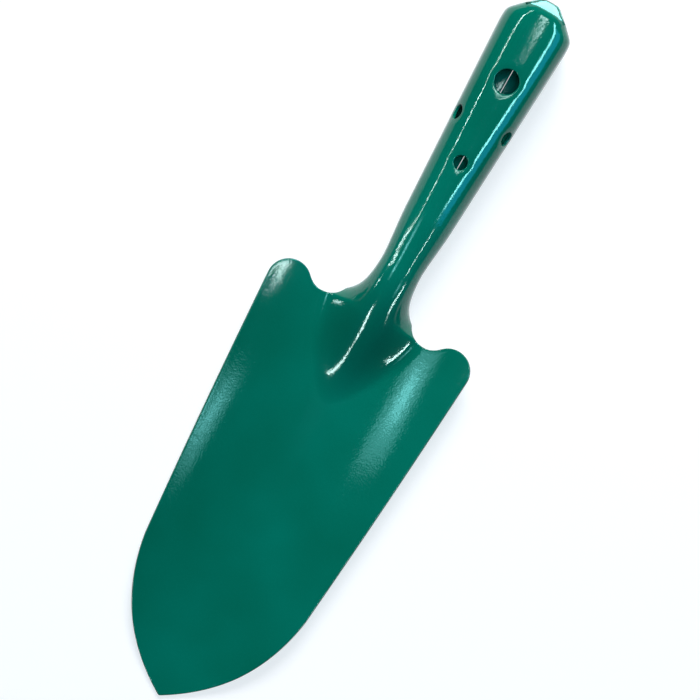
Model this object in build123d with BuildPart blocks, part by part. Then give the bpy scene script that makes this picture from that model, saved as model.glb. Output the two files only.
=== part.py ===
"""Hand trowel, pressed and rolled from one sheet of steel.

The trowel lies on its back on the floor: +Z up out of the dish of the blade, the handle towards +Y, the tip
towards -Y, and the origin on the floor under the middle of its length. Each node is one forming zone of the
sheet, and neighbouring zones meet face to face.

A distance runs from the handle end towards the tip. A reach runs the same way, but from the shoulder line,
which joins the two valleys between the neck and the lobes of the blade.
"""

from build123d import *
import math
import os

# The sheet
sheet = 1.2  # thickness
seam_gap = 0.2  # between its rolled edges, along the back of the handle

# Lengths
handle_length = 131.6  # handle end to the shoulder line
blade_length = 158.4  # shoulder line to the tip
crown_length = 36.0  # shoulder line forward to where the crown of the neck dies into the blade
crown_back = 24.0  # shoulder line back to where the crown starts to come down
closed_back = 22.0  # shoulder line back to where the tube is closed and round
opened_back = 1.0  # shoulder line back to where the sheet has fully opened out
neck_join = 28.0  # shoulder line back to where the tube's node begins

# The blade
blade_radius = 85.0  # of its dish, on the upper face
lower_width = 67.2  # across the blade where its sides turn into the tip
side_length = 108.4  # shoulder line to that place
side_bow = 0.4  # how far the sides bulge from straight
tip_arc_radius = 67.0
lobe_radius = 8.2
lobe_rise = 5.2  # top of a lobe behind the shoulder line
valley_spread = 42.8  # across the bottoms of the valleys
valley_radius = 8.0
flank_length = 1.6  # straight edge between a valley and its lobe

# The neck
waist_diameter = 16.1  # the narrowest place of the handle
waist_back = 22.5  # shoulder line back to the waist
waist_clearance = 3.9  # underside of the waist above the floor
crown_bend = 0.35  # share of the crown's half width that bends over the top
foot_bend = 0.25  # share of the crown's half width that bends out into the blade
notch_depth = 6.0  # how far the sheet's edge is cut back where the tube opens

# The handle
grip_diameter = 27.34  # the thickest place of the handle
grip_at = 14.0  # handle end to that place
taper_end = 90.0  # handle end to where the straight taper starts to dip into the waist
waist_dip = 1.28  # how much thinner the waist is than the straight taper would make it
grip_squareness = 3.0  # power of the rounded square section at the grip, where 2 is round
round_from = 95.0  # handle end to where the section is fully round

# The folded end
cap_flat = 7.0  # across the flat that the tips of the tabs make
side_slope = 1.054  # how fast the end widens behind that flat
front_slope = 2.0  # how fast its front and back rise
cone_softness = 1.2  # size of the soft bend from there into the grip
fold_at = 5.0  # handle end to the line where the tabs begin
slit_width = 0.8
slit_turn = 35.0  # degrees from the front, and from the back, to each slit
slit_length = 1.0  # how far the slits run past the tabs

# Punched holes: distance, diameter, and degrees round from the front
hanging_hole = (33.8, 9.3, 0)
left_hole = (51.5, 5.7, -58)
right_hole = (51.5, 5.7, 58)
lower_hole = (67.2, 5.3, 0)

handle_end = (handle_length + blade_length) / 2
shoulder = handle_end - handle_length
tube_end = handle_length - neck_join
waist_at = handle_length - waist_back
grip = grip_diameter / 2
waist = waist_diameter / 2
valley = valley_spread / 2


def clamp(share):
    return min(max(share, 0.0), 1.0)


def smooth(share):
    """0 to 1 with no slope at either end."""
    share = clamp(share)
    return share * share * (3 - 2 * share)


def spaced(first, last, count):
    return [first + (last - first) * i / (count - 1) for i in range(count)]


def across(distance, height=0.0):
    """The plane across the trowel at this distance and height, with +X to its right and +Z up it."""
    return Plane(origin=(0, handle_end - distance, height), x_dir=(1, 0, 0), z_dir=(0, -1, 0))


# The handle's line and sections


def tube_radius(distance, slope=side_slope):
    """A straight taper with a dip at the waist, which bends softly into the end's own slope."""
    taper = (grip - waist - waist_dip / 2) / (waist_at - grip_at)
    dip = waist_dip / 2 * smooth((distance - taper_end) / (waist_at - taper_end))
    wall = grip - taper * (min(max(distance, grip_at), waist_at) - grip_at) - dip
    cone = cap_flat / 2 + slope * distance
    return (wall + cone - math.hypot(wall - cone, cone_softness)) / 2


def inner_radius(distance, slope=side_slope):
    steepness = (tube_radius(distance + 0.1, slope) - tube_radius(distance, slope)) / 0.1
    return tube_radius(distance, slope) - sheet * math.hypot(1, steepness)


def axis_height(distance):
    """The grip rests on the floor, and the waist is carried clear of it."""
    share = (distance - grip_at) / (waist_at - grip_at)
    return grip + share * (waist + waist_clearance - grip)


def squareness(distance):
    return 2 + (grip_squareness - 2) * (1 - smooth((distance - grip_at) / (round_from - grip_at)))


def ring(distance, radius_at, count=32):
    """The face inside a closed section: a rounded square, or a circle where its power is 2."""
    width, height = radius_at(distance), radius_at(distance, front_slope)
    power = squareness(distance)
    points = []
    for i in range(count):
        x, z = math.cos(2 * math.pi * i / count), math.sin(2 * math.pi * i / count)
        out = (abs(x / width) ** power + abs(z / height) ** power) ** (-1 / power)
        points.append(Vector(out * x, out * z))
    make_face(Edge.make_spline(points, periodic=True))


# The sections of the neck


def crown_height(reach):
    """The crown runs on in the tube's line, and comes down to the blade in a soft S."""
    distance = reach + handle_length
    tube_crown = axis_height(distance) + tube_radius(distance)
    share = clamp((crown_length - reach) / (crown_length + crown_back))
    return sheet + (tube_crown - sheet) * math.sin(math.pi / 2 * share**0.85) ** 2


def foot_half_width(reach):
    """Half the crown's width where its sides run out into the blade."""
    return valley * (1 - clamp(reach / crown_length) ** 1.4) ** 0.7


def crown_slope(share):
    """Slope of the side of a crown that is one high and one wide to each side."""
    steepest = 2 / (2 - crown_bend - foot_bend)
    if share < crown_bend:
        return steepest * share / crown_bend
    return steepest * min(clamp(1 - share) / foot_bend, 1.0)


def opening(reach):
    """How far the sheet has opened out of the closed tube, from 0 to 1."""
    return clamp((reach + closed_back) / (closed_back - opened_back)) ** 1.5


def half_strip(reach):
    """Length of the sheet's section from the top of the crown to its edge."""
    closed = math.pi * tube_radius(reach + handle_length) - seam_gap / 2
    notch = notch_depth * math.sin(math.pi * clamp(1 + reach / closed_back) ** 1.3) ** 2
    return closed - notch + 1.5 * smooth(reach / 4)


def sheet_section(reach, depth, count=16, steps=20):
    """Points across the sheet from its left edge to its right edge, at this depth under its upper face.

    The section is walked from the crown outwards. Its turn at each step is a blend of the tube's, which grows
    with the length walked, and of the crown's and blade's slope at the same length.
    """
    rise = crown_height(reach) - sheet
    foot = max(foot_half_width(reach), 1.0)
    radius = tube_radius(reach + handle_length)
    step = half_strip(reach) / (count * steps)
    x, z, open_x = 0.0, rise + sheet, 0.0
    right = [(0.0, z - depth)]
    for i in range(1, count * steps + 1):
        dish_slope = open_x / math.sqrt(blade_radius**2 - open_x**2)
        open_turn = math.atan(rise / foot * crown_slope(open_x / foot) - dish_slope)
        turn = (1 - opening(reach)) * (i - 0.5) * step / radius + opening(reach) * open_turn
        x += math.cos(turn) * step
        z -= math.sin(turn) * step
        open_x += math.cos(open_turn) * step
        if i % steps == 0:
            right.append((x - depth * math.sin(turn), z - depth * math.cos(turn)))
    return [(-x, z) for x, z in right[:0:-1]] + right


# Outlines seen from above


def from_above(x, reach):
    return (x, shoulder - reach)


def foot_line():
    """Where the crown dies into the blade: from the left valley round its nose to the right valley."""
    right = [(foot_half_width(s * crown_length), s * crown_length) for s in (0.0, 0.3, 0.55, 0.75, 0.9)]
    left = [(-x, reach) for x, reach in right]
    return Spline(*[from_above(*point) for point in left + [(0, crown_length)] + right[::-1]])


lobe_reach = lobe_radius - lobe_rise  # a lobe's centre
lobe_apart = math.hypot(lobe_radius + valley_radius, flank_length)  # a lobe's centre from its valley's
lobe_x = valley + math.sqrt(lobe_apart**2 - (lobe_reach + valley_radius) ** 2)
shoulder_width = 2 * (lobe_x + lobe_radius)
tangent_turn = math.atan2(lobe_reach + valley_radius, lobe_x - valley)
tangent_turn += math.atan2(flank_length, lobe_radius + valley_radius)
side_turn = math.atan2((shoulder_width - lower_width) / 2, side_length - lobe_reach)


def on_lobe(turn):
    return from_above(lobe_x - lobe_radius * math.cos(turn), lobe_reach - lobe_radius * math.sin(turn))


def on_valley(turn):
    return from_above(valley + valley_radius * math.cos(turn), valley_radius * (math.sin(turn) - 1))


def arc(on_circle, first, last):
    ThreePointArc(on_circle(first), on_circle((first + last) / 2), on_circle(last))


with BuildPart() as blade:
    half_angle = math.degrees(math.asin(shoulder_width / 2 / blade_radius)) + 2
    with BuildSketch(across(handle_length - lobe_rise, blade_radius + sheet)):
        with BuildLine():
            lower = CenterArc((0, 0), blade_radius + sheet, 270 - half_angle, 2 * half_angle)
            upper = CenterArc((0, 0), blade_radius, 270 - half_angle, 2 * half_angle)
            Line(lower @ 0, upper @ 0)
            Line(lower @ 1, upper @ 1)
        make_face()
    extrude(amount=lobe_rise + blade_length)
    with BuildSketch():
        with BuildLine():
            arc(on_valley, math.pi / 2, tangent_turn)
            Line(on_valley(tangent_turn), on_lobe(tangent_turn))
            arc(on_lobe, tangent_turn, math.pi + side_turn)
            side_start = Vector(*on_lobe(math.pi + side_turn))
            corner = Vector(*from_above(lower_width / 2, side_length))
            ThreePointArc(side_start, (side_start + corner) / 2 + Vector(side_bow, 0), corner)
            RadiusArc(corner, from_above(0, blade_length), tip_arc_radius)
            mirror(about=Plane.YZ)
            foot_line()
        make_face()
    extrude(amount=blade_radius, mode=Mode.INTERSECT)
blade.part.label = "blade"

back_reaches = [-neck_join * share for share in (1, 0.85, 0.64, 0.43, 0.28, 0.14, 0.04)]
front_reaches = [crown_length * share for share in (0.05, 0.2, 0.36, 0.53, 0.7, 0.86, 1.03)]
with BuildPart() as neck:
    for reach in back_reaches + front_reaches:
        with BuildSketch(across(reach + handle_length)):
            with BuildLine():
                upper = Spline(*sheet_section(reach, 0))
                lower = Spline(*sheet_section(reach, sheet))
                Line(upper @ 0, lower @ 0)
                Line(upper @ 1, lower @ 1)
            make_face()
    loft()
    with BuildSketch(Plane.XY.offset(-sheet)):
        with BuildLine():
            back = -neck_join - 1
            corners = [(-valley, 0), (-valley, back), (valley, back), (valley, 0)]
            Polyline(*[from_above(*corner) for corner in corners])
            foot_line()
        make_face()
        with Locations(from_above(-valley, -valley_radius), from_above(valley, -valley_radius)):
            Circle(valley_radius, mode=Mode.SUBTRACT)
    extrude(amount=2 * grip_diameter, mode=Mode.INTERSECT)
neck.part.label = "neck"


def cut_slits_and_seam(length):
    """Cuts the four slits between the end tabs, and the seam along the back, to this length."""
    with BuildSketch(across(0, axis_height(0))) as slits:
        for angle in (90 - slit_turn, 90 + slit_turn, 270 - slit_turn, 270 + slit_turn):
            with PolarLocations(grip / 2, 1, start_angle=angle):
                Rectangle(grip, slit_width)
    extrude(slits.sketch, amount=fold_at + slit_length, mode=Mode.SUBTRACT)
    with BuildSketch(across(0, axis_height(0))) as seam:
        with Locations((0, -grip)):
            Rectangle(seam_gap, 2 * grip)
    extrude(seam.sketch, amount=length, mode=Mode.SUBTRACT)


def punch(distance, diameter, angle):
    """Punches one hole through the wall, from the handle's axis outwards."""
    out = (math.sin(math.radians(angle)), 0, math.cos(math.radians(angle)))
    middle = (0, handle_end - distance, axis_height(distance))
    with BuildSketch(Plane(origin=middle, x_dir=(0, 1, 0), z_dir=out)) as hole:
        Circle(diameter / 2)
    extrude(hole.sketch, amount=2 * grip, mode=Mode.SUBTRACT)


with BuildPart() as handle_tube:
    for distances in (spaced(fold_at, grip_at, 5), spaced(grip_at, tube_end, 7)):
        for radius_at, mode in ((tube_radius, Mode.ADD), (inner_radius, Mode.SUBTRACT)):
            for distance in distances:
                with BuildSketch(across(distance, axis_height(distance))):
                    ring(distance, radius_at)
            loft(mode=mode)
    cut_slits_and_seam(tube_end)
    for hole in (hanging_hole, left_hole, right_hole, lower_hole):
        punch(*hole)
handle_tube.part.label = "handle_tube"


def end_tab(name, first, last):
    """One folded tab: the wall of the handle's end between two angles, counted from its right side towards its front."""
    with BuildPart() as tab:
        for distances, radius_at, mode in (
            ((0, fold_at), tube_radius, Mode.ADD),
            ((sheet, fold_at), inner_radius, Mode.SUBTRACT),
        ):
            for distance in distances:
                with BuildSketch(across(distance, axis_height(distance))):
                    ring(distance, radius_at)
            loft(mode=mode)
        with BuildSketch(across(0, axis_height(0))):
            with BuildLine():
                rim = CenterArc((0, 0), grip_diameter, first, last - first)
                Line((0, 0), rim @ 0)
                Line((0, 0), rim @ 1)
            make_face()
        extrude(amount=fold_at, mode=Mode.INTERSECT)
        cut_slits_and_seam(fold_at)
    tab.part.label = name
    return tab.part


end_tabs = [
    end_tab("end_tab_front", 90 - slit_turn, 90 + slit_turn),
    end_tab("end_tab_left", 90 + slit_turn, 270 - slit_turn),
    end_tab("end_tab_back_left", 270 - slit_turn, 270),
    end_tab("end_tab_back_right", 270, 270 + slit_turn),
    end_tab("end_tab_right", 270 + slit_turn, 450 - slit_turn),
]

os.makedirs("parts", exist_ok=True)
for piece in (blade.part, neck.part, handle_tube.part, *end_tabs):
    export_step(piece, f"parts/{piece.label}.step")
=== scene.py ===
"""Looks of the hand trowel: one sheet of pressed and rolled steel, dipped in glossy green enamel.

The painted sheet is one surface, built from the same formulas as the CAD part and cut into its zones
afterwards. A place on the sheet has two numbers, both in millimetres: one across the sheet from its middle
line, and one along it from the handle end. A reach runs along it too, but from the shoulder line.
"""

import math

import bmesh
import bpy
import numpy as np
from mathutils import Matrix, Vector
from mathutils.geometry import delaunay_2d_cdt


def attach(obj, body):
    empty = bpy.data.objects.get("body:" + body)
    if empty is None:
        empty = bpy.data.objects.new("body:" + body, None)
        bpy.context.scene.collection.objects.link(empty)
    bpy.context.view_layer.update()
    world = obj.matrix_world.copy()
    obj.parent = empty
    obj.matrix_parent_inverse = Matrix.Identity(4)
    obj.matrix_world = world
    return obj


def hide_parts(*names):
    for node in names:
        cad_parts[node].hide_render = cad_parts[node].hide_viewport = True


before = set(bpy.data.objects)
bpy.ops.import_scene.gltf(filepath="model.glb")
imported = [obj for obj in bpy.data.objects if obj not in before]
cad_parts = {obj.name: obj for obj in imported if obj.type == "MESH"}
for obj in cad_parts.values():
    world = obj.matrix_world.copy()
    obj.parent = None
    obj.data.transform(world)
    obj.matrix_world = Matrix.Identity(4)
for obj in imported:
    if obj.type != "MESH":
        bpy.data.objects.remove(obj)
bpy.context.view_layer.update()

# The sheet
sheet = 1.2
seam_gap = 0.2
edge_radius = 0.35  # of the painted edges
spacing = 0.9  # between the points of the mesh

# Lengths
handle_length = 131.6
blade_length = 158.4
crown_length = 36.0
crown_back = 24.0
closed_back = 22.0
opened_back = 1.0
neck_join = 28.0

# The blade
blade_radius = 85.0
lower_width = 67.2
side_length = 108.4
side_bow = 0.4
tip_arc_radius = 67.0
lobe_radius = 8.2
lobe_rise = 5.2
valley_spread = 42.8
valley_radius = 8.0
flank_length = 1.6

# The neck
waist_diameter = 16.1
waist_back = 22.5
waist_clearance = 3.9
crown_bend = 0.35
foot_bend = 0.25
notch_depth = 6.0

# The handle
grip_diameter = 27.34
grip_at = 14.0
taper_end = 90.0
waist_dip = 1.28
grip_squareness = 3.0
round_from = 95.0

# The folded end
cap_flat = 7.0
side_slope = 1.054  # how fast the side tabs widen
front_slope = 2.0  # how fast the front and back tabs rise
cone_softness = 1.2
cap_softness = 0.8
fold_at = 5.0
slit_width = 0.8
slit_turn = math.radians(35.0)  # from the front, and from the back, to each slit
slit_end = 6.0
front_tip, side_tip, back_tip = 1.8, 1.2, 2.6  # how near the tabs come to the middle of the end

# Punched holes: distance, diameter, degrees round from the front
holes = ((33.8, 9.3, 0), (51.5, 5.7, -58), (51.5, 5.7, 58), (67.2, 5.3, 0))
dent_depth = 0.22  # how far the sheet dips round them
dent_width = 1.8

handle_end = (handle_length + blade_length) / 2
shoulder = handle_end - handle_length
tube_end = handle_length - neck_join
waist_at = handle_length - waist_back
grip = grip_diameter / 2
waist = waist_diameter / 2
valley = valley_spread / 2
quarter = math.pi / 2


def smooth(share):
    share = np.clip(share, 0, 1)
    return share * share * (3 - 2 * share)


# The handle: a closed tube whose end is folded in as four tabs


def tube_radius(distance, slope=side_slope):
    taper = (grip - waist - waist_dip / 2) / (waist_at - grip_at)
    dip = waist_dip / 2 * smooth((distance - taper_end) / (waist_at - taper_end))
    wall = grip - taper * (np.clip(distance, grip_at, waist_at) - grip_at) - dip
    cone = cap_flat / 2 + slope * distance
    return (wall + cone - np.hypot(wall - cone, cone_softness)) / 2


def axis_height(distance):
    share = (distance - grip_at) / (waist_at - grip_at)
    return grip + share * (waist + waist_clearance - grip)


def squareness(distance):
    return 2 + (grip_squareness - 2) * (1 - smooth((distance - grip_at) / (round_from - grip_at)))


def profile(along):
    """Distance, half width and half height of the tube, on past its rim to the middle of the end."""
    softness = cap_softness * (1 - smooth(along / 20))
    distance = (along + np.hypot(along, softness)) / 2
    inwards = along - distance
    return distance, tube_radius(distance) + inwards, tube_radius(distance, front_slope) + inwards


def ring_out(along, angle):
    """How far the tube's surface is from its axis, at this angle from the front."""
    distance, width, height = profile(along)
    power = squareness(distance)
    terms = np.abs(np.sin(angle) / width) ** power + np.abs(np.cos(angle) / height) ** power
    return terms ** (-1 / power)


def tube_surface(angle, along):
    out = ring_out(along, angle)
    distance = profile(along)[0]
    dent = 0 * out  # where the sheet is drawn in round the punched holes
    for hole_distance, diameter, degrees in holes:
        turn = angle - math.radians(degrees)
        far = np.hypot(out * np.sin(turn), distance - hole_distance) + 99 * (np.cos(turn) < 0)
        dent = dent + dent_depth * (1 - smooth((far - diameter / 2) / dent_width))
    out = out - dent
    height = axis_height(distance) + out * np.cos(angle)
    return np.stack([out * np.sin(angle), handle_end - distance, height], -1)


slit_girth = float(tube_radius(slit_end))


def tube_angle(across, along):
    """Each tab is laid out flat from its own middle line, as it was before it was folded."""
    tab = quarter * np.round(across / (quarter * slit_girth))
    folded = tab + (across - tab * slit_girth) / np.maximum(profile(along)[1], 0.3)
    return np.where(along < slit_end, folded, across / np.maximum(profile(along)[1], 0.3))


def tube_place(across, along, depth):
    angle = tube_angle(across, along)
    place = tube_surface(angle, along)
    round_it = tube_surface(angle + 1e-3, along) - tube_surface(angle - 1e-3, along)
    down_it = tube_surface(angle, along + 1e-3) - tube_surface(angle, along - 1e-3)
    normal = np.cross(down_it, round_it)
    normal /= np.linalg.norm(normal, axis=-1, keepdims=True)
    return place - depth * normal


# The neck and blade: places across are counted on the fully opened sheet


def rise_at(reach):
    distance = reach + handle_length
    tube_crown = axis_height(distance) + tube_radius(distance)
    share = np.clip((crown_length - reach) / (crown_length + crown_back), 0, 1)
    return (tube_crown - sheet) * np.sin(quarter * share**0.85) ** 2


def foot_half_width(reach):
    return valley * (1 - np.clip(reach / crown_length, 0, 1) ** 1.4) ** 0.7


def crown_slope(share):
    steepest = 2 / (2 - crown_bend - foot_bend)
    return steepest * np.minimum(share / crown_bend, np.minimum(np.clip(1 - share, 0, 1) / foot_bend, 1))


def opening(reach):
    return np.clip((reach + closed_back) / (closed_back - opened_back), 0, 1) ** 1.5


def half_strip(reach):
    closed = math.pi * tube_radius(reach + handle_length) - seam_gap / 2
    return closed - notch_depth * np.sin(math.pi * np.clip(1 + reach / closed_back, 0, 1) ** 1.3) ** 2


def section(across, reach, steps=160):
    """Place, turn and length from the crown of points on the section, walked from the crown outwards."""
    lobe = (reach < 0) & (across > valley)
    rise = np.where(lobe, 0, rise_at(reach))
    opened = np.where(lobe, 1, opening(reach))
    foot = np.maximum(foot_half_width(reach), 1)
    radius = tube_radius(reach + handle_length)
    x, z, length = 0 * across, rise + sheet, 0 * across
    for i in range(steps + 1):
        open_x = across * min(i + 0.5, steps) / steps
        dish = open_x / np.sqrt(blade_radius**2 - open_x**2)
        open_turn = np.arctan(rise / foot * crown_slope(open_x / foot) - dish)
        step = across / steps / np.cos(open_turn) if i < steps else 0 * across
        turn = (1 - opened) * (length + step / 2) / radius + opened * open_turn
        x = x + np.cos(turn) * step
        z = z - np.sin(turn) * step
        length = length + step
    return x, z, turn, length


def sheet_place(across, along, depth):
    x, z, turn, _ = section(np.abs(across), along - handle_length)
    x = np.sign(across) * (x - depth * np.sin(turn))
    return np.stack([x, handle_end - along, z - depth * np.cos(turn)], -1)


# Outlines, as rows of (across, along)


def rows(across, along):
    return np.stack(np.broadcast_arrays(across, along), -1).astype(float)


def steps_between(first, last, step=0.1):
    return np.linspace(first, last, max(int(abs(last - first) / step), 2))


def tab_edge(tab, side, along):
    """The edge of a tab along a slit of even width. Tabs are counted in quarters round from the front."""
    whole_half = quarter - slit_turn if tab % 2 else slit_turn
    half = whole_half - np.arcsin(slit_width / 2 / ring_out(along, slit_turn))
    return tab * quarter * slit_girth + side * half * profile(along)[1]


def down_from(tip):
    return steps_between(tip - cap_flat / 2, slit_end)


front, side, back = down_from(front_tip), down_from(side_tip), down_from(back_tip)
back_edge = math.pi * slit_girth - seam_gap / 2
seam = steps_between(slit_end, tube_end)
tube_outline = np.concatenate([
    rows(steps_between(0, tab_edge(0, 1, front[0]))[:-1], front[0]),
    rows(tab_edge(0, 1, front), front),
    rows(tab_edge(1, -1, side[::-1]), side[::-1]),
    rows(tab_edge(1, 1, side), side),
    rows(tab_edge(2, -1, back[::-1]), back[::-1]),
    rows(back_edge, back)[:-1],
    rows(math.pi * profile(seam)[1] - seam_gap / 2, seam),
])


def neck_edge(reach):
    """The strip's edge, or where the valley cuts it off."""
    grid = np.linspace(0, valley, 400)
    x, _, _, length = section(grid, reach + 0 * grid)
    edge = np.interp(half_strip(reach), length, grid)
    if reach > -valley_radius:
        cut = valley - math.sqrt(max(valley_radius**2 - (reach + valley_radius) ** 2, 0))
        edge = min(edge, grid[np.argmax(x >= cut)] if (x >= cut).any() else edge)
    return min(edge, valley)


def arc(centre, radius, first, last):
    angles = steps_between(first, last, 0.1 / radius)
    return rows(centre[0] + radius * np.cos(angles), centre[1] + radius * np.sin(angles))


def bowed(first, last, bow):
    """An arc through two points that stands out from the straight line between them by the bow."""
    share = steps_between(0, 1, 0.1 / math.dist(first, last))[:, None]
    first, last = np.array(first), np.array(last)
    out = np.array([last[1] - first[1], first[0] - last[0]]) / np.linalg.norm(last - first)
    return first + (last - first) * share + out * bow * 4 * share * (1 - share)


lobe_reach = lobe_radius - lobe_rise
lobe_apart = math.hypot(lobe_radius + valley_radius, flank_length)
lobe_x = valley + math.sqrt(lobe_apart**2 - (lobe_reach + valley_radius) ** 2)
shoulder_width = 2 * (lobe_x + lobe_radius)
tangent_turn = math.atan2(lobe_reach + valley_radius, lobe_x - valley)
tangent_turn += math.atan2(flank_length, lobe_radius + valley_radius)
side_turn = math.atan2((shoulder_width - lower_width) / 2, side_length - lobe_reach)

neck_reach = steps_between(-neck_join, 0, 0.25)
lobe_arc = arc((lobe_x, lobe_reach), lobe_radius, tangent_turn - math.pi, side_turn)
corner = (lower_width / 2, side_length)
tip_span = math.dist(corner, (0, blade_length))
tip_bow = tip_arc_radius - math.sqrt(tip_arc_radius**2 - tip_span**2 / 4)
blade_outline = np.concatenate([
    arc((valley, -valley_radius), valley_radius, quarter, tangent_turn),
    lobe_arc,
    bowed(lobe_arc[-1], corner, side_bow)[1:],
    bowed(corner, (0, blade_length), tip_bow)[1:],
])
# The edges stand square to the dished sheet, so the upper face ends a little inside the outline.
blade_outline[:, 0] -= 0.029 * np.maximum(blade_outline[:, 0] - valley, 0)
neck_outline = rows(np.array([neck_edge(reach) for reach in neck_reach]), neck_reach)
sheet_outline = np.concatenate([neck_outline[:-1], blade_outline]) + [0, handle_length]


def mirrored(right, starts_middle):
    """The whole outline from its right half, which starts or ends on the middle line."""
    left = right[::-1] * [-1, 1]
    return np.concatenate([left[:-1], right]) if starts_middle else np.concatenate([right, left[1:]])


def even(line):
    """The same line with points a tenth of a millimetre apart."""
    far = np.concatenate([[0], np.cumsum(np.linalg.norm(np.diff(line, axis=0), axis=1))])
    want = np.linspace(0, far[-1], int(far[-1] / 0.1))
    return np.stack([np.interp(want, far, line[:, i]) for i in (0, 1)], -1)


def eased(line, reach=4):
    """Rounds the corners of an even line, and keeps its ends."""
    window = np.ones(2 * reach + 1) / (2 * reach + 1)
    for _ in range(3):
        before, after = 2 * line[0] - line[reach:0:-1], 2 * line[-1] - line[-2 : -reach - 2 : -1]
        padded = np.concatenate([before, line, after])
        line = np.stack([np.convolve(padded[:, i], window, "valid") for i in (0, 1)], -1)
    return line


def nearest(line, place):
    return int(np.argmin(np.linalg.norm(line - place, axis=1)))


def thinned(line, keep=()):
    """Fewer points, closer where the line bends, and always one at each place in keep."""
    step = np.diff(line, axis=0)
    heading = np.unwrap(np.arctan2(step[:, 1], step[:, 0]))
    cost = np.linalg.norm(step, axis=1) / spacing
    cost[1:] += np.abs(np.diff(heading)) / math.radians(14)
    total = np.concatenate([[0], np.cumsum(cost)])
    stops = sorted({0, len(line) - 1, *(nearest(line, place) for place in keep)})
    picked = []
    for first, last in zip(stops, stops[1:]):
        count = max(round(total[last] - total[first]), 1)
        want = np.linspace(total[first], total[last], count + 1)[:-1]
        picked += [np.stack([np.interp(want, total, line[:, i]) for i in (0, 1)], -1)]
    return np.concatenate([*picked, line[-1:]])


# The mesh of the painted sheet


rounding = [edge_radius * (1 - math.sin(a)) for a in np.linspace(0, quarter, 5)]
sinking = [edge_radius * (1 - math.cos(a)) for a in np.linspace(0, quarter, 5)]
rim_rows = [*zip(rounding, sinking), *((r, sheet - s) for r, s in zip(rounding[::-1], sinking[::-1]))]


def stretch(place, line):
    """How many millimetres of the real surface one across, and one along, stand for."""
    sizes = []
    for side in ((0.01, 0), (0, 0.01)):
        span = place(*(line + side).T, 0.0) - place(*(line - side).T, 0.0)
        sizes.append(np.linalg.norm(span, axis=1) / 0.02)
    return np.stack(sizes, -1)


def inwards(place, line, closed, sideways_ends):
    """Steps across and along that lead one millimetre into the sheet from its edge."""
    scale = stretch(place, line)
    if closed:
        heading = (np.roll(line, -1, axis=0) - np.roll(line, 1, axis=0)) * scale
    else:
        heading = np.gradient(line, axis=0) * scale
    normal = np.stack([-heading[:, 1], heading[:, 0]], -1)
    if sideways_ends:
        normal[0] = [np.sign(normal[0, 0]), 0]
        normal[-1] = [np.sign(normal[-1, 0]), 0]
    return normal / np.linalg.norm(normal, axis=1, keepdims=True) / scale


def within(points, loop):
    inside = np.zeros(len(points), bool)
    for (x0, y0), (x1, y1) in zip(loop, np.roll(loop, -1, axis=0)):
        if y0 != y1:
            crosses = (points[:, 1] > min(y0, y1)) & (points[:, 1] <= max(y0, y1))
            inside ^= crosses & (points[:, 0] < x0 + (points[:, 1] - y0) * (x1 - x0) / (y1 - y0))
    return inside


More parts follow.
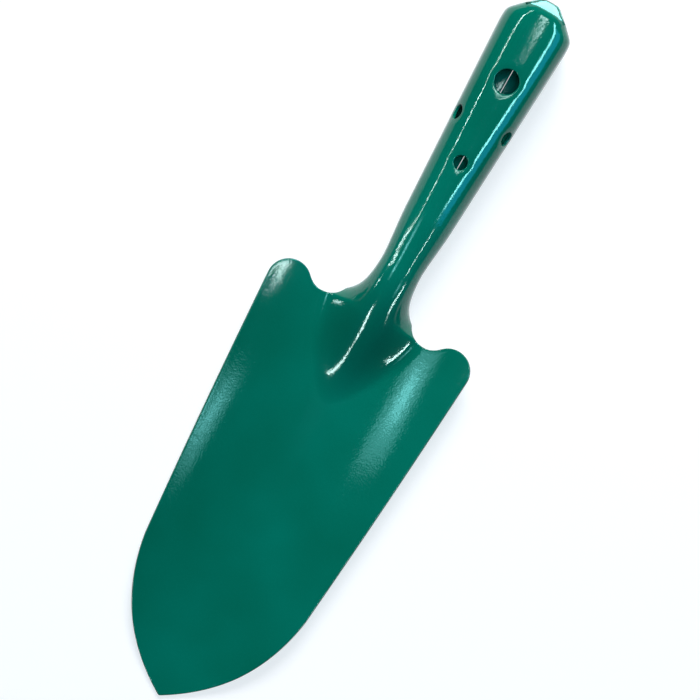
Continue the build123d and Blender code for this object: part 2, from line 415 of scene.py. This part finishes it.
class Part:
    """Points and faces of one region of the sheet, with the region's flat layout."""

    def __init__(self, place, outline, join, loops, lines):
        """Lines are (first outline point, last outline point, points between)."""
        edges = [(outline, inwards(place, outline, False, True), False)]
        edges += [(loop, inwards(place, loop, True, False), True) for loop in loops]
        flat, wires = [], []
        count = 0
        self.rims = []
        for line, inward, closed in edges:
            ids = np.arange(count, count + len(line))
            flat.append(line + inward * edge_radius)
            wires += list(zip(ids[:-1], ids[1:])) + ([(ids[-1], ids[0])] if closed else [])
            self.rims.append((line, inward, closed, ids))
            count += len(line)
        self.join = [len(outline) - 1, *range(count, count + len(join)), 0]
        for first, last, between in [(len(outline) - 1, 0, join), *lines]:
            ids = [first, *range(count, count + len(between)), last]
            flat.append(between)
            wires += list(zip(ids[:-1], ids[1:]))
            count += len(between)
        fixed = np.concatenate(flat)
        border = np.concatenate([flat[0], join])
        low, high = border.min(axis=0), border.max(axis=0)
        columns_at, rows_at = (np.arange(low[i], high[i], spacing) for i in (0, 1))
        grid = np.stack(np.meshgrid(columns_at, rows_at), -1).reshape(-1, 2)
        grid = grid[within(grid, border)]
        for loop in flat[1 : 1 + len(loops)]:
            grid = grid[~within(grid, loop)]
        near = np.concatenate([
            np.linalg.norm(some[:, None] - fixed, axis=2).min(axis=1) for some in np.array_split(grid, 60)
        ])
        grid = grid[near > 0.62 * spacing]
        self.flat = np.concatenate([fixed, grid])
        wires = [(int(a), int(b)) for a, b in wires]
        # Measured from the join, where short numbers would otherwise lose the border's slight bend
        spots = [Vector(p) for p in self.flat - join.mean(axis=0)]
        _, _, faces, origin, _, _ = delaunay_2d_cdt(spots, wires, [], 0, 1e-6, True)
        faces = np.array([[origin[i][0] for i in face] for face in faces])
        middle = self.flat[faces].mean(axis=1)
        kept = within(middle, border)
        for loop in flat[1 : 1 + len(loops)]:
            kept &= ~within(middle, loop)
        faces, middle = faces[kept], middle[kept]
        n = len(self.flat)
        points = [place(*self.flat.T, 0.0), place(*self.flat.T, sheet)]
        self.faces = [(*f, -1) for f in faces] + [(f[0] + n, f[2] + n, f[1] + n, -1) for f in faces]
        self.middles = [*middle, *middle]
        self.columns = {}
        total = 2 * n
        for line, inward, closed, ids in self.rims:
            ladder = [ids]
            for rounded, sunk in rim_rows[1:-1]:
                row = line + inward * rounded
                points.append(place(*row.T, sunk))
                ladder.append(np.arange(total, total + len(line)))
                total += len(line)
            ladder.append(ids + n)
            ladder = np.array(ladder)
            for i, top in enumerate(ids):
                self.columns[int(top)] = [int(v) for v in ladder[:, i]]
            last = len(line) if closed else len(line) - 1
            for i in range(last):
                j = (i + 1) % len(line)
                spot = (line[i] + line[j]) / 2 + (inward[i] + inward[j]) / 2 * edge_radius
                for a, b in zip(ladder, ladder[1:]):
                    self.faces.append((b[i], b[j], a[j], a[i]))
                    self.middles.append(spot)
        self.points = np.concatenate([p.reshape(-1, 3) for p in points])
        self.faces = np.array(self.faces)
        self.middles = np.array(self.middles)
        self.twin = n


join_angles = np.linspace(-math.pi, math.pi, 60)[1:-1]
join_lengths = join_angles * float(tube_radius(tube_end))
join_grid = np.linspace(0, valley, 2000)
join_walked = section(join_grid, 0 * join_grid - neck_join)[3]
join_across = np.sign(join_lengths) * np.interp(np.abs(join_lengths), join_walked, join_grid)


def bulge(across):
    """Bends a join outwards a little, because the layout needs a border without points in line."""
    return 0.02 * (1 - (across / (1.02 * np.abs(across).max())) ** 2)


def between(first, last):
    """Points on a straight line between two places, without its ends."""
    first, last = np.array(first, float), np.array(last, float)
    count = max(int(np.linalg.norm(last - first) / spacing), 2)
    return first + (last - first) * (np.arange(1, count) / count)[:, None]


# The tube and its tabs: name, place round the tube in quarters from the front, and its sides at a slit

tabs = {
    -2: ("end_tab_back_left", (-back_edge, tab_edge(-2, 1, fold_at))),
    -1: ("end_tab_left", (tab_edge(-1, -1, fold_at), tab_edge(-1, 1, fold_at))),
    0: ("end_tab_front", (tab_edge(0, -1, fold_at), tab_edge(0, 1, fold_at))),
    1: ("end_tab_right", (tab_edge(1, -1, fold_at), tab_edge(1, 1, fold_at))),
    2: ("end_tab_back_right", (tab_edge(2, -1, fold_at), back_edge)),
}
tube_line = eased(even(mirrored(tube_outline, True)))
tube_line = thinned(tube_line, [(side, fold_at) for _, sides in tabs.values() for side in sides])
fold_lines = []
for _, (left, right) in tabs.values():
    ends = [nearest(tube_line, (side, fold_at)) for side in (left, right)]
    fold_lines.append((*ends, between((left + edge_radius, fold_at), (right - edge_radius, fold_at))))


def hole_loop(distance, diameter, degrees):
    turn = np.linspace(0, 2 * math.pi, int(diameter * math.pi / 0.45), endpoint=False)
    side, along = diameter / 2 * np.sin(turn), distance + diameter / 2 * np.cos(turn)
    angle = math.radians(degrees) + 0 * turn
    for _ in range(8):
        angle = math.radians(degrees) + np.arcsin(side / ring_out(along, angle))
    return rows(angle * profile(along)[1], along)


tube_loops = [hole_loop(*hole) for hole in holes]
tube_join = rows(join_lengths, tube_end + bulge(join_lengths))[::-1]
tube_half = Part(tube_place, tube_line, tube_join, tube_loops, fold_lines)

sheet_line = eased(even(mirrored(sheet_outline, False)))
valleys = [(valley, handle_length), (-valley, handle_length)]
sheet_line = thinned(sheet_line, valleys)
foot_reach = crown_length * np.sin(np.linspace(0.03, quarter, 40))
foot = rows(foot_half_width(foot_reach), foot_reach + handle_length)
foot = np.concatenate([foot[:-1], foot[::-1] * [-1, 1]])
foot_line = (*(nearest(sheet_line, place) for place in valleys), foot)
blade_half = Part(sheet_place, sheet_line, rows(join_across, tube_end - bulge(join_across)), [], [foot_line])

# Both halves become one closed mesh

size = len(tube_half.points)
points = np.concatenate([tube_half.points, blade_half.points])
same = np.arange(len(blade_half.points)) + size
for tube_point, sheet_point in zip(tube_half.join[::-1], blade_half.join):
    same[sheet_point] = tube_point
    same[sheet_point + blade_half.twin] = tube_point + tube_half.twin
rim_joins = ((tube_half.join[-1], blade_half.join[0]), (tube_half.join[0], blade_half.join[-1]))
for tube_point, sheet_point in rim_joins:
    for first, second in zip(tube_half.columns[tube_point], blade_half.columns[sheet_point]):
        same[second] = first
sheet_faces = np.where(blade_half.faces < 0, -1, same[np.maximum(blade_half.faces, 0)])
faces = np.concatenate([tube_half.faces, sheet_faces])
twins = {i: i + tube_half.twin for i in range(tube_half.twin)}
twins.update({int(same[i]): int(same[i + blade_half.twin]) for i in range(blade_half.twin)})
columns = dict(tube_half.columns)
columns.update({int(same[i]): [int(same[j]) for j in column] for i, column in blade_half.columns.items()})

across, along = tube_half.middles.T
tab_names = np.array([tabs[i][0] for i in range(-2, 3)])
tab_index = np.clip(np.round(across / (quarter * slit_girth)), -2, 2).astype(int) + 2
tube_zones = np.where(along < fold_at, tab_names[tab_index], "handle_tube")
across, reach = np.abs(blade_half.middles[:, 0]), blade_half.middles[:, 1] - handle_length
in_neck = np.where(reach < 0, across < valley, (reach < crown_length) & (across < foot_half_width(reach)))
zones = np.concatenate([tube_zones, np.where(in_neck, "neck", "blade")])


def closed_bmesh(points, faces):
    bm = bmesh.new()
    made = [bm.verts.new(point / 1000) for point in points]
    for face in faces:
        bm.faces.new([made[i] for i in face if i >= 0])
    bmesh.ops.recalc_face_normals(bm, faces=bm.faces)
    bm.verts.index_update()
    return bm


whole = closed_bmesh(points, faces)
normals = np.zeros((len(points), 3))
edge_zones = {}
for face, zone in zip(whole.faces, zones):
    weighted = np.array(face.normal) * face.calc_area()
    ring = [vertex.index for vertex in face.verts]
    normals[ring] += weighted
    for edge in zip(ring, ring[1:] + ring[:1]):
        edge_zones.setdefault(tuple(sorted(edge)), set()).add(zone)
whole.free()
normals /= np.maximum(np.linalg.norm(normals, axis=1, keepdims=True), 1e-12)
cuts = {edge: pair for edge, pair in edge_zones.items() if len(pair) == 2}


def make_piece(name, material):
    """One zone of the painted sheet, closed where it meets the next zone, with the whole sheet's shading."""
    own = [[int(i) for i in face if i >= 0] for face in faces[zones == name]]
    caps = []
    ends = set()
    for (i, j), pair in cuts.items():
        if name in pair and i in twins and j in twins:
            caps.append([i, j, twins[j], twins[i]])
            ends |= {i, j} & set(columns)
    for i in ends:
        caps.append(columns[i])
    used = sorted({i for face in own + caps for i in face})
    slot_of = {old: new for new, old in enumerate(used)}
    bm = closed_bmesh(points[used], [[slot_of[i] for i in face] for face in own + caps])
    mesh = bpy.data.meshes.new(name + "_steel")
    bm.to_mesh(mesh)
    open_edges = sum(1 for edge in bm.edges if len(edge.link_faces) != 2)
    bm.free()
    print(name, len(mesh.vertices), "points", len(mesh.polygons), "faces", open_edges, "open edges")
    mesh.polygons.foreach_set("use_smooth", [k < len(own) for k in range(len(mesh.polygons))])
    corner_normals = np.zeros((len(mesh.loops), 3))
    for polygon in mesh.polygons[: len(own)]:
        for loop in polygon.loop_indices:
            corner_normals[loop] = normals[used[mesh.loops[loop].vertex_index]]
    mesh.normals_split_custom_set([tuple(n) for n in corner_normals])
    mesh.materials.append(material)
    made = bpy.data.objects.new(name + "_painted", mesh)
    bpy.context.scene.collection.objects.link(made)
    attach(made, "root")
    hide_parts(name)
    return made


# The enamel


def node(tree, kind, inputs=None, **settings):
    made = tree.nodes.new(kind)
    for key, value in settings.items():
        setattr(made, key, value)
    for key, value in (inputs or {}).items():
        if hasattr(value, "is_output"):
            tree.links.new(value, made.inputs[key])
        else:
            made.inputs[key].default_value = value
    return made


peel_height = 0.00002  # metres between the high and low places of the orange peel and of the specks


def green_enamel():
    """Glossy dipped enamel: uneven colour, orange peel, fine specks, and paler sharp edges that stand for a
    thinner coat there together with a painted highlight along the rims.
    """
    made = bpy.data.materials.new("green_enamel_paint")
    made.use_nodes = True
    tree = made.node_tree
    tree.nodes.clear()
    place = node(tree, "ShaderNodeTexCoord").outputs["Object"]
    cloud = node(tree, "ShaderNodeTexNoise", {"Vector": place, "Scale": 26, "Detail": 2, "Roughness": 0.5})
    fine = node(tree, "ShaderNodeTexNoise", {"Vector": place, "Scale": 1500, "Detail": 1})
    mixed = node(tree, "ShaderNodeMix", {"Factor": 0.15, "A": cloud.outputs["Fac"], "B": fine.outputs["Fac"]})
    tone = node(tree, "ShaderNodeValToRGB", {"Fac": mixed.outputs["Result"]})
    tone.color_ramp.elements[0].position = 0.3
    tone.color_ramp.elements[0].color = (0.000, 0.130, 0.078, 1)
    tone.color_ramp.elements[1].position = 0.7
    tone.color_ramp.elements[1].color = (0.000, 0.168, 0.110, 1)
    # Sharp edges are mixed towards a paler green: partly a thinner coat there, partly a painted highlight
    # along the rims
    edge = node(tree, "ShaderNodeNewGeometry").outputs["Pointiness"]
    thin_coat_and_highlight_share = node(
        tree, "ShaderNodeMapRange",
        {"Value": edge, "From Min": 0.56, "From Max": 0.75, "To Max": 0.5},
    )
    thin_coat_and_edge_highlight = node(
        tree, "ShaderNodeMix",
        {"Factor": thin_coat_and_highlight_share.outputs["Result"], "A": tone.outputs["Color"], "B": (0.03, 0.20, 0.17, 1)},
        data_type="RGBA",
    )
    peel = node(tree, "ShaderNodeTexNoise", {"Vector": place, "Scale": 420, "Detail": 2, "Roughness": 0.55})
    specks = node(tree, "ShaderNodeTexNoise", {"Vector": place, "Scale": 1500, "Detail": 1})
    bump = node(tree, "ShaderNodeBump", {"Distance": peel_height, "Height": peel.outputs["Fac"]})
    bump = node(
        tree, "ShaderNodeBump",
        {"Distance": peel_height, "Height": specks.outputs["Fac"], "Normal": bump.outputs["Normal"]},
    )
    rough = node(tree, "ShaderNodeMapRange", {"Value": cloud.outputs["Fac"], "To Min": 0.05, "To Max": 0.11})
    shader = node(tree, "ShaderNodeBsdfPrincipled", {
        "Base Color": thin_coat_and_edge_highlight.outputs[2], "Roughness": rough.outputs["Result"], "Normal": bump.outputs["Normal"],
        "IOR": 1.45,
    })
    node(tree, "ShaderNodeOutputMaterial", {"Surface": shader.outputs["BSDF"]})
    return made


enamel = green_enamel()
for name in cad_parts:
    make_piece(name, enamel)

# The studio: a pale glowing floor, a soft lamp above, and small lamps for the highlights


def pale_floor():
    """Matt white paper on a light table."""
    made = bpy.data.materials.new("pale_floor_paper")
    made.use_nodes = True
    tree = made.node_tree
    shader = tree.nodes["Principled BSDF"]
    place = node(tree, "ShaderNodeTexCoord").outputs["Object"]
    grain = node(tree, "ShaderNodeTexNoise", {"Vector": place, "Scale": 300})
    tone = node(tree, "ShaderNodeValToRGB", {"Fac": grain.outputs["Fac"]})
    tone.color_ramp.elements[0].color = (0.38, 0.38, 0.38, 1)
    tone.color_ramp.elements[1].color = (0.40, 0.40, 0.40, 1)
    tree.links.new(tone.outputs["Color"], shader.inputs["Base Color"])
    shader.inputs["Roughness"].default_value = 0.9
    shader.inputs["Specular IOR Level"].default_value = 0
    shader.inputs["Emission Color"].default_value = (1, 1, 1, 1)
    shader.inputs["Emission Strength"].default_value = 0.68
    return made


floor_mesh = bpy.data.meshes.new("floor")
floor_mesh.from_pydata([(-4, -4, 0), (4, -4, 0), (4, 4, 0), (-4, 4, 0)], [], [(0, 1, 2, 3)])
floor_mesh.materials.append(pale_floor())
floor = bpy.data.objects.new("floor", floor_mesh)
floor.location.z = -0.0002
bpy.context.scene.collection.objects.link(floor)


def studio_world():
    """White at the horizon and dim overhead."""
    world = bpy.data.worlds.new("studio")
    world.use_nodes = True
    tree = world.node_tree
    tree.nodes.clear()
    towards = node(tree, "ShaderNodeTexCoord").outputs["Generated"]
    height = node(tree, "ShaderNodeSeparateXYZ", {"Vector": towards}).outputs["Z"]
    level = node(tree, "ShaderNodeValToRGB", {"Fac": height})
    level.color_ramp.interpolation = "EASE"
    level.color_ramp.elements[0].position = 0.0
    level.color_ramp.elements[0].color = (0.4, 0.5, 0.5, 1)
    level.color_ramp.elements[1].position = 0.07
    level.color_ramp.elements[1].color = (0.01, 0.06, 0.07, 1)
    background = node(tree, "ShaderNodeBackground", {"Color": level.outputs["Color"], "Strength": 1.0})
    node(tree, "ShaderNodeOutputWorld", {"Surface": background.outputs["Background"]})
    bpy.context.scene.world = world


studio_world()


pale, white, sky = (0.7, 1.0, 0.97), (1, 1, 1), (0.6, 0.9, 1.3)
cyan, blue = (0.3, 0.95, 1.0), (0.02, 0.4, 0.8)
lobe_right, lobe_left = (0.023, -0.004, 0.004), (-0.035, -0.045, 0.008)


def lamp(name, first, last, width, radiance, colour=pale, kind="highlight", target=(0, 0.03, 0.01)):
    """A lamp from the first place to the last. A highlight shows only in gloss, a light only lights."""
    first, last = Vector(first), Vector(last)
    middle = (first + last) / 2
    long_way = (last - first).normalized()
    back = (middle - Vector(target)).normalized()
    side_way = long_way.cross(back).normalized()
    data = bpy.data.lights.new(name, "AREA")
    data.shape = "RECTANGLE"
    data.size, data.size_y = width, (last - first).length
    data.energy = radiance * math.pi * data.size * data.size_y
    data.color = colour
    made = bpy.data.objects.new(name, data)
    turned = Matrix((side_way, back.cross(side_way), back)).transposed().to_4x4()
    made.matrix_world = Matrix.Translation(middle) @ turned
    made.visible_camera = False
    made.visible_glossy = kind == "highlight"
    made.visible_diffuse = kind != "highlight"
    bpy.context.scene.collection.objects.link(made)


lamp("soft_box", (-0.4, 0.7, 0.9), (-0.1, 1.1, 0.7), 0.5, 19, white, kind="light")
lamp("top_box", (0.05, -0.05, 1.6), (0.05, 0.25, 1.6), 0.3, 27, sky, kind="light")
lamp("left_strip", (-0.066, 0.200, 0.150), (-0.0925, 0.0997, 0.148), 0.004, 60,
     target=(-0.009, 0.12, 0.025))
lamp("left_strip_on", (-0.0925, 0.0997, 0.148), (-0.115, 0.0244, 0.119), 0.003, 60,
     target=(-0.007, 0.08, 0.025))
lamp("left_strip_end", (-0.115, 0.0244, 0.119), (-0.1435, 0.0164, 0.0723), 0.003, 60,
     target=(-0.004, 0.04, 0.02))
lamp("right_cyan", (0.076, 0.200, 0.152), (0.090, 0.045, 0.150), 0.018, 30, cyan,
     target=(0.008, 0.12, 0.025))
lamp("right_blue", (0.118, 0.200, 0.122), (0.125, 0.040, 0.122), 0.066, 6, blue,
     target=(0.01, 0.12, 0.024))
lamp("right_neck", (0.111, 0.029, 0.130), (0.111, 0.009, 0.130), 0.004, 60,
     target=(0.003, 0.04, 0.02))
lamp("blade_right_lamp", (-0.106, 0.004, 0.218), (-0.112, -0.018, 0.215), 0.016, 12, cyan,
     target=lobe_right)
lamp("blade_right_glow", (-0.106, 0.022, 0.218), (-0.112, -0.040, 0.215), 0.044, 4, cyan,
     target=lobe_right)
lamp("blade_left_lamp", (0.165, -0.044, 0.203), (0.168, -0.066, 0.203), 0.014, 7, cyan,
     target=lobe_left)
lamp("blade_left_glow", (0.165, -0.034, 0.203), (0.168, -0.084, 0.203), 0.040, 3, cyan,
     target=lobe_left)
lamp("nose_lamp", (-0.112, -0.448, 0.394), (-0.259, -0.345, 0.432), 0.03, 45)
lamp("shoulder_lamp", (0.551, -0.104, 0.251), (0.463, -0.263, 0.300), 0.03, 45)
lamp("left_low_lamp", (-0.566, -0.120, 0.19), (-0.566, -0.150, 0.19), 0.03, 45)
lamp("facet_lamp", (0.022, 0.215, 0.623), (0.018, 0.099, 0.626), 0.02, 20)
lamp("facet_top_lamp", (-0.020, 0.240, 0.620), (0.070, 0.240, 0.620), 0.04, 20)
lamp("end_lamp", (-0.02, 0.165, 0.005), (0.02, 0.165, 0.005), 0.012, 9, cyan,
     target=(0, 0.143, 0.02))

# The camera looks straight down, turned so that the handle points up and to the right

view_turn = math.radians(29.57)
up = Vector((-math.sin(view_turn), math.cos(view_turn), 0))
right = Vector((math.cos(view_turn), math.sin(view_turn), 0))
frame_width = 0.2541  # metres that the image spans, at the height of the object's middle
camera_height = 1.5
object_height = 0.012
camera_shift = (-0.00149, 0.00022)  # of the picture's middle from the object's, right and up
camera = bpy.data.cameras.new("camera")
camera.sensor_width = 36
camera.lens = camera.sensor_width * (camera_height - object_height) / frame_width
camera.clip_end = 20
camera_object = bpy.data.objects.new("camera", camera)
camera_object.matrix_world = Matrix((
    (right.x, up.x, 0, 0), (right.y, up.y, 0, 0), (0, 0, 1, 0), (0, 0, 0, 1),
))
camera_object.location = right * camera_shift[0] + up * camera_shift[1] + Vector((0, 0, camera_height))
bpy.context.scene.collection.objects.link(camera_object)
bpy.context.scene.camera = camera_object
bpy.context.scene.view_settings.view_transform = "Standard"
